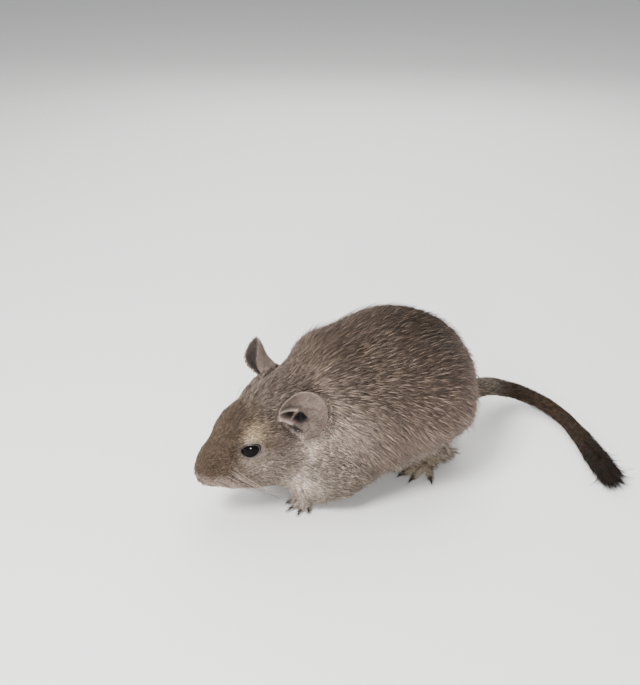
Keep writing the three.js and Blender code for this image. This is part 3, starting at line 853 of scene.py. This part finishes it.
def claw(tip, ahead, length, radius):
    """A claw at the end of a toe: the toe's end, the way it points, length and root radius."""
    bpy.ops.object.select_all(action="DESELECT")
    bpy.ops.mesh.primitive_cone_add(
        vertices=12, radius1=1, radius2=0.12, depth=1, end_fill_type="NGON", location=(0, 0, 0.5)
    )
    cone = bpy.context.object
    bpy.ops.object.transform_apply(location=True, rotation=True, scale=True)
    for bend in CLAW_BENDS:
        edit_all(bpy.ops.mesh.bisect, plane_co=(0, 0, bend), plane_no=(0, 0, 1))
    aside = Vector((0, 0, 1)).cross(ahead)
    for corner in cone.data.vertices:
        x, y, t = corner.co
        height = tip.z + 0.35 + 0.9 * sin(pi * t) * radius - (tip.z - 0.1) * t * t
        height += y * radius * 0.9
        spot = tip + ahead * (t * length - 0.5) + aside * (x * radius * 0.8)
        corner.co = on_animal(spot.x, spot.y, max(height, 0.12))
    return cone


pick(*[claw(*toe) for toe in TOES])
bpy.ops.object.join()
claws = bpy.context.object
claws.name = "claws"
edit_all(bpy.ops.mesh.normals_make_consistent, inside=False)
bpy.ops.object.shade_smooth_by_angle(angle=radians(50))
claws.data.materials.append(claw_look)
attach(claws, "root")

# The coat is short, fine and soft, and lies close along the body. Each hair tuft is a slim
# three-sided blade with its root in the skin. Its root is dark, for the hair's own dark base and
# as painted shade deep in the coat, and many turn pale to the tip.
coat_look, _ = marked_look("degu_coat", roughness=0.6, gloss=0.2, grain=1500, mottling=0.2)
TUFTS = 20500  # nine triangles each, so that a piece stays under 200,000
BLADE_FACES = np.array(
    [[0, 2, 5], [0, 5, 3], [2, 1, 4], [2, 4, 5], [1, 0, 3], [1, 3, 4]]
    + [[3, 5, 6], [5, 4, 6], [4, 3, 6]]
)
BLADE_PATCH = np.array([[-1, -1], [1, -1], [0, -1], [-1, 0], [1, 0], [0, 0], [0, 1]])
LOWEST_HAIR = 0.00008  # metres above the floor


def scatter(count, weight, seed):
    """Draws roots over the skin, by area and a weight for each of its corners.

    Gives their places and outward directions, a function that reads any rows kept for the
    skin's corners at the roots, and the draw to go on with.
    """
    draw = np.random.default_rng(seed)
    share = skin_areas * weight[skin_faces].mean(1)
    share = np.cumsum(share) / share.sum()
    face = np.minimum(np.searchsorted(share, draw.random(count)), len(share) - 1)
    a, b = draw.random((2, count))
    over = a + b > 1
    a, b = np.where(over, 1 - a, a), np.where(over, 1 - b, b)
    mix = np.stack([1 - a - b, a, b], 1)
    corners = skin_faces[face]

    def at_roots(rows):
        return (rows[corners] * mix[:, :, None]).sum(1)

    return at_roots(skin_places), unit(at_roots(skin_normals)), at_roots, draw


def flat(way, normals):
    """The same ways, laid flat on the skin."""
    return unit(way - normals * (way * normals).sum(1)[:, None])


def lie(places, normals):
    """The way the coat lies: from nose to tail, down the sides, down the legs to the toes."""
    x, y, z = places.T
    along, up = on_head(places)
    low = fade(z, 56, 26)
    way = np.stack([0 * x, np.ones(len(x)), -1.15 * low], 1)
    way[:, 2] -= 0.9 * fade(y, 50, 72) * fade(normals[:, 1], 0.5, 0.95)
    head = fade(along, -8, 4)[:, None]
    down = 0.15 + 0.55 * fade(up, 2, -9)
    back = np.stack([0.35 * np.sign(x) * fade(np.abs(x), 0, 6), 0 * x + 0.84, 0.54 - down], 1)
    way = way * (1 - head) + back * head
    toe = (foot_mask(places) * fade(z, 6, 3))[:, None]
    way = way * (1 - toe) + toe * np.stack([0.2 * np.sign(x), 0 * x - 1, 0 * x - 0.3], 1)
    way = flat(way, normals)
    swirl = 0.1 * ripple(places, 30, 11) + 0.05 * ripple(places, 8, 12)
    return unit(way + np.cross(normals, way) * swirl[:, None])


def add_hair(mesh, uv, tones):
    """Makes a mesh of hair a piece, with each tuft's place on the unwrap and its colours."""
    layer = mesh.uv_layers.new(name="OFBake")
    layer.data.foreach_set("uv", uv.ravel())
    add_colour_attribute(mesh, tones)
    mesh.materials.append(coat_look)
    piece = bpy.data.objects.new(mesh.name, mesh)
    bpy.context.collection.objects.link(piece)
    return piece


def grow(name, roots, normals, way, length, width, lift, tones, sink=0.25):
    """Makes a piece of coat: a slim three-sided blade on each root, bent over along its way."""
    count = len(roots)
    aside = np.cross(normals, way)
    length, width, lift = (np.broadcast_to(v, count)[:, None] for v in (length, width, lift))
    middle = roots + way * length * 0.5 + normals * lift * 0.75
    tip = roots + way * length + normals * lift
    base = roots - normals * sink
    half = aside * width / 2
    ridge = normals * width * 0.45
    corners = [base + half * 0.8, base - half * 0.8, base + ridge * 0.8]
    corners += [middle + half, middle - half, middle + ridge, tip]
    faces = (np.arange(count)[:, None, None] * 7 + BLADE_FACES).reshape(-1, 3)
    mesh = bpy.data.meshes.new(name)
    mesh.vertices.add(count * 7)
    metres = in_scene(np.stack(corners, 1).reshape(-1, 3))
    metres[:, 2] = np.maximum(metres[:, 2], LOWEST_HAIR)
    mesh.vertices.foreach_set("co", metres.ravel())
    mesh.loops.add(len(faces) * 3)
    mesh.loops.foreach_set("vertex_index", faces.ravel().astype(np.int32))
    mesh.polygons.add(len(faces))
    mesh.polygons.foreach_set("loop_start", np.arange(0, len(faces) * 3, 3, dtype=np.int32))
    mesh.polygons.foreach_set("use_smooth", np.ones(len(faces), dtype=bool))
    mesh.update(calc_edges=True)
    uv = (places_on_unwrap(roots)[:, None, :] + BLADE_PATCH * PATCH).reshape(-1, 2)
    piece = add_hair(mesh, uv[faces.ravel()], tones.reshape(-1, 3))
    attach(piece, "root")


def hair_tones(tone, draw, root_dark=0.5, pale_share=0.35, contrast=1.0):
    """Colours of each blade from root to tip: some hairs are plain, some pale, some dark."""
    kind = draw.random(len(tone))
    bright = draw.normal(1, 0.12 * contrast, len(tone))
    kinds = [kind < 0.05, kind < pale_share, kind > 0.78]
    middle = np.select(kinds, [0.7, 0.35, -0.35], 0.0)
    tip = np.select(kinds, [0.9, 0.45, -0.5], -0.2)
    middle = (1 + contrast * middle) * bright
    tip = (1 + contrast * tip) * bright
    warm = np.where((kind < pale_share)[:, None], [1.0, 0.97, 0.92], 1.0)
    # The darkened root is the hair's own dark base and also painted shade deep in the coat.
    root = (tone * root_dark)[:, None, :].repeat(3, 1)
    middle = (tone * warm * middle[:, None])[:, None, :].repeat(3, 1)
    tip = (tone * warm * tip[:, None])[:, None, :]
    return np.clip(np.concatenate([root, middle, tip], 1), 0.002, 0.95)


# On trunk and legs the tufts are 4 to 8 mm long, and a few guard hairs are longer. They lie in
# fine, nearly straight strands that gather a little, and leave no skin bare. Beside the ears,
# feet and tail root they are shorter.
TRUNK_PIECES = 5
TRUNK_HAIR = (4.4, 7.8)
GUARD_SHARE = 0.07
on_trunk = np.clip(1 - fade(along, 0, 6) - ear - foot - tail, 0, 1)
hidden = 1 - 0.75 * fade(skin_normals[:, 2], -0.2, -0.8)
for piece in range(TRUNK_PIECES):
    roots, normals, _, draw = scatter(TUFTS, on_trunk * hidden, 100 + piece)
    way = lie(roots, normals)
    clump = np.stack([ripple(roots, 3.0, 20 + k) for k in range(3)], 1)
    way = flat(unit(way + 0.04 * clump + 0.05 * draw.normal(size=roots.shape)), normals)
    size = 1 - 0.45 * fade(on_head(roots)[0], -16, 2) - 0.35 * fade(roots[:, 2], 12, 4)
    size *= 1 - 0.55 * fade(roots[:, 1], 66, 72) * fade(roots[:, 2], 22, 17)
    size *= 0.35 + 0.65 * fade(ear_gap(roots), 1.0, 1.45)
    size *= 1 - 0.55 * near(mirrored(roots), (14, 44, 6), 8)
    length = draw.uniform(*TRUNK_HAIR, len(roots)) * size
    lift = draw.uniform(0.7, 2.1, len(roots)) * size + 0.06 * ripple(roots, 3.0, 31)
    guard = draw.random(len(roots)) < GUARD_SHARE
    length *= 1 + 0.3 * guard
    lift *= 1 + 0.6 * guard
    tones = hair_tones(markings_and_painted_shading(roots, normals), draw, contrast=1.15)
    grow(
        f"coat_trunk_{piece + 1}", roots, normals, way, length,
        draw.uniform(0.16, 0.29, len(roots)), lift, tones,
    )

# On the head the hair is shorter and lies flatter, and it is shortest on the muzzle and round
# the eyes. The lids are bare and the end of the nose nearly so. It grows closest on the
# snout.
FACE_PIECES = 2
FACE_HAIR = (2.8, 4.4)
furred = 1 - fade(from_eye(skin_places), 4.8, 4.3)
furred *= 1 - 0.9 * fade(along, 38.2, 39.6) * fade(up, -3.5, -2)
on_face = np.clip(fade(along, -2, 4) - ear - foot, 0, 1) * furred
closeness = 1 + 1.2 * fade(along, 10, 30)
for piece in range(FACE_PIECES):
    roots, normals, _, draw = scatter(TUFTS, on_face * closeness, 200 + piece)
    way = lie(roots, normals)
    way = flat(unit(way + 0.1 * draw.normal(size=roots.shape)), normals)
    size = 1 - 0.55 * fade(on_head(roots)[0], 4, 34)
    size *= 0.45 + 0.55 * fade(from_eye(roots), 4.8, 9)
    size *= 0.35 + 0.65 * fade(ear_gap(roots), 1.0, 1.5)
    length = draw.uniform(*FACE_HAIR, len(roots)) * size
    lift = draw.uniform(0.35, 0.95, len(roots)) * size
    tones = hair_tones(markings_and_painted_shading(roots, normals), draw, root_dark=0.55, contrast=1.35)
    grow(
        f"coat_head_{piece + 1}", roots, normals, way, length,
        draw.uniform(0.13, 0.22, len(roots)), lift, tones, sink=0.15,
    )

# The ears are nearly bare. Sparse down of the skin's own colour lies on both their faces and
# points up and to the rear.
DOWN_TUFTS = 3000
roots, normals, at_roots, draw = scatter(DOWN_TUFTS, ear, 300)
way = np.zeros_like(roots)
for which in EARS:
    root, across, up_axis, _ = ear_axes(which)
    here = (np.sign(roots[:, 0]) == np.sign(root[0]))[:, None]
    way = np.where(here, up_axis - 0.4 * across, way)
way = flat(way + 0.25 * draw.normal(size=roots.shape), normals)
length = draw.uniform(0.8, 1.7, len(roots))
tones = hair_tones(ear_paint(at_roots(ear_spot)), draw, root_dark=0.9, contrast=0.5)
grow("down_ears", roots, normals, way, length, 0.09, 0.22, tones, sink=0.08)

# The feet have short stiff bristles over the toes, pale and dark mixed, that point forwards.
# The soles are bare.
BRISTLES = 3500
roots, normals, _, draw = scatter(BRISTLES, foot * fade(skin_places[:, 2], 0.6, 1.4), 310)
way = lie(roots, normals)
way = unit(way + 0.2 * draw.normal(size=roots.shape))
length = draw.uniform(0.9, 2.0, len(roots))
tones = hair_tones(markings_and_painted_shading(roots, normals), draw, root_dark=0.4, pale_share=0.5, contrast=1.5)
grow("bristles_feet", roots, normals, way, length, 0.13, 0.3, tones, sink=0.1)

# The tail is clad in short stiff hair that lies towards its tip and lengthens into a black
# brush over its last third. The second piece thickens the brush.
BRUSH_START = 0.62


def along_tail(places):
    """How far along the tail's path each place is, 0 to 1, and the path's direction there."""
    path = np.array(TAIL_PATH, dtype=float)
    fine_path = []
    for k in range(len(path) - 1):
        before = path[max(k - 1, 0)]
        after = path[min(k + 2, len(path) - 1)]
        for t in np.linspace(0, 1, 12, endpoint=False):
            place = 2 * path[k] + (path[k + 1] - before) * t
            place = place + (2 * before - 5 * path[k] + 4 * path[k + 1] - after) * t**2
            place = place + (3 * path[k] - before - 3 * path[k + 1] + after) * t**3
            fine_path.append(0.5 * place)
    fine_path = np.array(fine_path + [path[-1]])
    gaps = ((places[:, None, :] - fine_path[None, :, :]) ** 2).sum(2)
    nearest = gaps.argmin(1)
    heading = unit(np.gradient(fine_path, axis=0))
    return nearest / (len(fine_path) - 1), heading[nearest]


for piece, (count, start) in enumerate(((9500, 0.0), (8500, BRUSH_START))):
    share = along_tail(skin_places[tail > 0])[0]
    weight = np.zeros(len(skin_places))
    weight[tail > 0] = fade(share, start - 0.1, start + 0.05) + 0.02
    roots, normals, _, draw = scatter(count, weight * tail, 320 + piece)
    share, heading = along_tail(roots)
    brush = fade(share, BRUSH_START, 0.92)
    way = heading + (0.12 + 0.14 * brush)[:, None] * draw.normal(size=roots.shape)
    way = unit(way - normals * (way * normals).sum(1)[:, None] * 0.9)
    length = draw.uniform(2.2, 4.0, len(roots)) * (1 + 1.7 * brush)
    lift = draw.uniform(0.3, 1.3, len(roots)) * (1 + 2.2 * brush)
    tones = hair_tones(markings_and_painted_shading(roots, normals), draw, root_dark=0.5, contrast=1.7)
    grow(
        f"coat_tail_{piece + 1}", roots, normals, way, length,
        draw.uniform(0.17, 0.3, len(roots)), lift, tones, sink=0.2,
    )

# Whiskers spring from the pads beside the nose and sweep back and down, and two stand over
# each eye. They are single stiff hairs, dark or pale, tapered to nothing.
WHISKER_ROWS = 6
BROW_WHISKERS = 2


def whisker(start, first, last, length, radius, tone, steps=9):
    """The rings and colours of one whisker that bends from its first heading to its last."""
    first, last = unit(np.array([first, last], dtype=float))
    place = np.array(start, dtype=float)
    rings = []
    for k in range(steps):
        t = k / (steps - 1)
        heading = first * (1 - t) ** 1.5 + last * (1 - (1 - t) ** 1.5)
        heading = heading / np.linalg.norm(heading)
        aside = np.cross(heading, (0.1, 0.2, 1.0))
        aside /= np.linalg.norm(aside)
        upright = np.cross(aside, heading)
        size = radius * (1 - t) ** 0.7 + 0.008
        rings.append([place + size * (aside * cos(a) + upright * sin(a)) for a in (0.5, 2.6, 4.7)])
        place = place + heading * length / (steps - 1)
    return np.array(rings), np.tile(tone, (steps * 3, 1))


def skin_near(place):
    """The corner of the skin that lies nearest to a place."""
    return skin_places[np.linalg.norm(skin_places - place, axis=1).argmin()]


draw = np.random.default_rng(77)
rings_made, tones_made = [], []
for side in (1, -1):
    for row in range(WHISKER_ROWS):
        for column in range(WHISKER_ROWS):
            along_w = 35.0 - 1.3 * column + 0.3 * row
            up_w = 0.8 - 0.9 * row
            y = HEAD_Y - along_w * cos(HEAD_PITCH) - up_w * sin(HEAD_PITCH)
            z = HEAD_Z - along_w * sin(HEAD_PITCH) + up_w * cos(HEAD_PITCH)
            root = skin_near(np.array([side * 9.0, y, z]))
            reach = (10 + 3.8 * column + draw.uniform(-2, 2)) * (1 - 0.06 * row)
            first = (side * 0.62, 0.62 - 0.04 * column, -0.42 + 0.03 * row)
            last = (side * 0.36, 0.8, -0.42 + 0.07 * row + draw.uniform(-0.05, 0.05))
            pale = draw.random() < 0.55
            tone = paint(186, 170, 154) if pale else paint(50, 40, 36)
            made = whisker(root, first, last, reach, draw.uniform(0.032, 0.05), tone)
            rings_made.append(made[0])
            tones_made.append(made[1])
    for k in range(BROW_WHISKERS):
        root = skin_near(np.array([side * (8.4 + 0.5 * k), -16.5 + 1.6 * k, 36.6]))
        first, last = (side * 0.5, 0.3, 0.7), (side * 0.4, 0.9, 0.15)
        made = whisker(root, first, last, 9 + 2 * k, 0.035, paint(60, 50, 44))
        rings_made.append(made[0])
        tones_made.append(made[1])
steps = rings_made[0].shape[0]
faces = []
for k in range(steps - 1):
    for j in range(3):
        a, b = 3 * k + j, 3 * k + (j + 1) % 3
        faces += [(a, b, b + 3), (a, b + 3, a + 3)]
faces += [(2, 1, 0), (3 * steps - 3, 3 * steps - 2, 3 * steps - 1)]
faces = np.array(faces)
count = len(rings_made)
all_faces = (np.arange(count)[:, None, None] * 3 * steps + faces).reshape(-1, 3)
places = np.array(rings_made).reshape(-1, 3)
places[:, 2] = np.maximum(places[:, 2], 0.15)
mesh = bpy.data.meshes.new("whiskers")
mesh.from_pydata(in_scene(places).tolist(), [], all_faces.tolist())
mesh.update()
mesh.shade_smooth()
uv = places_on_unwrap(np.array([rings[0].mean(0) for rings in rings_made]))
wisp = np.stack([np.tile([-1, 0, 1], steps), np.repeat(np.linspace(-1, 1, steps), 3)], 1) * PATCH
uv = (uv[:, None, :] + wisp).reshape(-1, 2)[all_faces.ravel()]
whiskers = add_hair(mesh, uv, np.array(tones_made).reshape(-1, 3))
pick(whiskers)
edit_all(bpy.ops.mesh.normals_make_consistent, inside=False)
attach(whiskers, "root")
